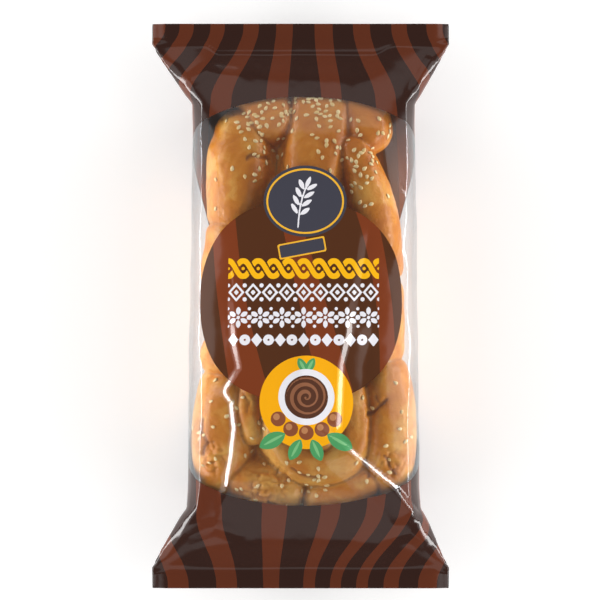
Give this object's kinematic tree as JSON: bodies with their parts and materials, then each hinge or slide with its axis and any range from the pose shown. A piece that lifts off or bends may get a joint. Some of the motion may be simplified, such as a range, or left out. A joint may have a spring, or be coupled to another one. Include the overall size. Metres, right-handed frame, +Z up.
{
  "type": "packaged braided sweet bread",
  "caption": "Braided sweet bread with sesame seeds, sealed in a striped flow pack with a clear window, lying on its back.",
  "frame": {"origin": "on the surface that the pack lies on, below the middle of its box", "axes": "+Y along the pack towards its upper end, +X across it to the right as seen from above, +Z up through the shown side"},
  "size_m": [0.1582, 0.3, 0.0579],
  "materials": {
    "printed_film": "glossy printed film in dark brown and red-brown stripes",
    "clear_film": "clear glossy film",
    "bread_crust": "soft golden-brown glazed crust",
    "sesame_seed": "pale toasted sesame"
  },
  "bodies": {
    "root": {"sealed_pack": "printed_film"}
  },
  "joints": []
}
